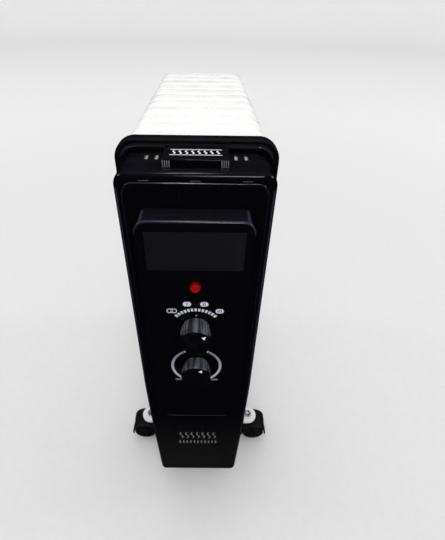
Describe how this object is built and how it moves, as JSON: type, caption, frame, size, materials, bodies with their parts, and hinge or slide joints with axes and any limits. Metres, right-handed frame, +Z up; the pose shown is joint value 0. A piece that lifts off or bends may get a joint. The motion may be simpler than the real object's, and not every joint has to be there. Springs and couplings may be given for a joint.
{
  "type": "oil filled radiator heater",
  "caption": "Free-standing oil filled radiator heater: white folded steel fins, black control housing with two knobs and a pilot lamp, brackets with swivelling twin-wheel casters.",
  "frame": {"origin": "on the floor, under the middle of the overall box", "axes": "+Z up, controls face -Y, fins follow one another along +Y, +X to the right seen from the controls"},
  "size_m": [0.28, 0.5496, 0.629],
  "materials": {
    "white_enamel": "gloss",
    "gloss_black": "gloss",
    "satin_black": "satin",
    "knob_black": "gloss",
    "switch_plastic": "satin",
    "inlay_grey": "matt",
    "lens_red": "translucent",
    "lamp_glass": "clear",
    "zinc_steel": "satin",
    "bright_nut": "polished",
    "element_brass": "satin",
    "white_ceramic": "glazed",
    "gasket_fibre": "matt",
    "wire_sleeve": "matt",
    "caster_black": "satin",
    "wheel_black": "satin"
  },
  "bodies": {
    "heater": {"fin_01": "white_enamel", "fin_02": "white_enamel", "fin_03": "white_enamel", "fin_04": "white_enamel", "fin_05": "white_enamel", "fin_06": "white_enamel", "fin_07": "white_enamel", "fin_08": "white_enamel", "fin_09": "white_enamel", "fin_10": "white_enamel", "fin_11": "white_enamel", "heat_shield": "white_enamel", "front_bracket": "white_enamel", "rear_bracket": "white_enamel", "front_shell": "gloss_black", "console": "gloss_black", "top_plate": "gloss_black", "rear_housing": "satin_black", "cord_gland": "satin_black", "selector_switch": "switch_plastic", "inlay_panel": "inlay_grey", "pilot_lens": "lens_red", "pilot_lamp": "lamp_glass", "mounting_plate": "zinc_steel", "case_screws": "zinc_steel", "switch_screws": "zinc_steel", "oil_filler_plug": "zinc_steel", "thermostat": "zinc_steel", "clamp_bolts": "zinc_steel", "wing_nuts": "zinc_steel", "caster_stems": "zinc_steel", "dome_nuts": "bright_nut", "heating_element": "element_brass", "thermal_cutout": "switch_plastic", "tilt_switch_case": "white_ceramic", "terminal_block": "white_ceramic", "element_gasket": "gasket_fibre", "wiring": "wire_sleeve"},
    "selector": {"selector_knob": "knob_black", "selector_shaft": "zinc_steel"},
    "thermostat_dial": {"thermostat_knob": "knob_black", "thermostat_shaft": "zinc_steel"},
    "tilt_weight": {"tilt_pendulum": "zinc_steel"},
    "caster_front_left": {"hood_front_left": "caster_black", "axle_front_left": "zinc_steel"},
    "near_wheel_front_left": {"near_wheel_front_left": "wheel_black"},
    "far_wheel_front_left": {"far_wheel_front_left": "wheel_black"},
    "caster_front_right": {"hood_front_right": "caster_black", "axle_front_right": "zinc_steel"},
    "near_wheel_front_right": {"near_wheel_front_right": "wheel_black"},
    "far_wheel_front_right": {"far_wheel_front_right": "wheel_black"},
    "caster_rear_left": {"hood_rear_left": "caster_black", "axle_rear_left": "zinc_steel"},
    "near_wheel_rear_left": {"near_wheel_rear_left": "wheel_black"},
    "far_wheel_rear_left": {"far_wheel_rear_left": "wheel_black"},
    "caster_rear_right": {"hood_rear_right": "caster_black", "axle_rear_right": "zinc_steel"},
    "near_wheel_rear_right": {"near_wheel_rear_right": "wheel_black"},
    "far_wheel_rear_right": {"far_wheel_rear_right": "wheel_black"}
  },
  "joints": [
    {"name": "selector_turn", "type": "hinge", "parent": "heater", "child": "selector", "pos_m": [0, -0.2492, 0.451], "axis": [0, 1, 0], "range_deg": [-92, 0]},
    {"name": "thermostat_turn", "type": "hinge", "parent": "heater", "child": "thermostat_dial", "pos_m": [0, -0.2492, 0.386], "axis": [0, 1, 0], "range_deg": [-168, 112]},
    {"name": "tilt_swing", "type": "hinge", "parent": "heater", "child": "tilt_weight", "pos_m": [0, -0.1712, 0.212], "axis": [0, 1, 0], "range_deg": [-30, 30]},
    {"name": "swivel_front_left", "type": "hinge", "parent": "heater", "child": "caster_front_left", "pos_m": [-0.101, -0.1132, 0.051], "axis": [0, 0, 1], "continuous": true},
    {"name": "roll_near_front_left", "type": "hinge", "parent": "caster_front_left", "child": "near_wheel_front_left", "pos_m": [-0.114, -0.1132, 0.022], "axis": [0, 1, 0], "continuous": true},
    {"name": "roll_far_front_left", "type": "hinge", "parent": "caster_front_left", "child": "far_wheel_front_left", "pos_m": [-0.114, -0.1132, 0.022], "axis": [0, 1, 0], "continuous": true},
    {"name": "swivel_front_right", "type": "hinge", "parent": "heater", "child": "caster_front_right", "pos_m": [0.101, -0.1132, 0.051], "axis": [0, 0, 1], "continuous": true},
    {"name": "roll_near_front_right", "type": "hinge", "parent": "caster_front_right", "child": "near_wheel_front_right", "pos_m": [0.114, -0.1132, 0.022], "axis": [0, 1, 0], "continuous": true},
    {"name": "roll_far_front_right", "type": "hinge", "parent": "caster_front_right", "child": "far_wheel_front_right", "pos_m": [0.114, -0.1132, 0.022], "axis": [0, 1, 0], "continuous": true},
    {"name": "swivel_rear_left", "type": "hinge", "parent": "heater", "child": "caster_rear_left", "pos_m": [-0.101, 0.2268, 0.051], "axis": [0, 0, 1], "continuous": true},
    {"name": "roll_near_rear_left", "type": "hinge", "parent": "caster_rear_left", "child": "near_wheel_rear_left", "pos_m": [-0.114, 0.2268, 0.022], "axis": [0, 1, 0], "continuous": true},
    {"name": "roll_far_rear_left", "type": "hinge", "parent": "caster_rear_left", "child": "far_wheel_rear_left", "pos_m": [-0.114, 0.2268, 0.022], "axis": [0, 1, 0], "continuous": true},
    {"name": "swivel_rear_right", "type": "hinge", "parent": "heater", "child": "caster_rear_right", "pos_m": [0.101, 0.2268, 0.051], "axis": [0, 0, 1], "continuous": true},
    {"name": "roll_near_rear_right", "type": "hinge", "parent": "caster_rear_right", "child": "near_wheel_rear_right", "pos_m": [0.114, 0.2268, 0.022], "axis": [0, 1, 0], "continuous": true},
    {"name": "roll_far_rear_right", "type": "hinge", "parent": "caster_rear_right", "child": "far_wheel_rear_right", "pos_m": [0.114, 0.2268, 0.022], "axis": [0, 1, 0], "continuous": true}
  ]
}
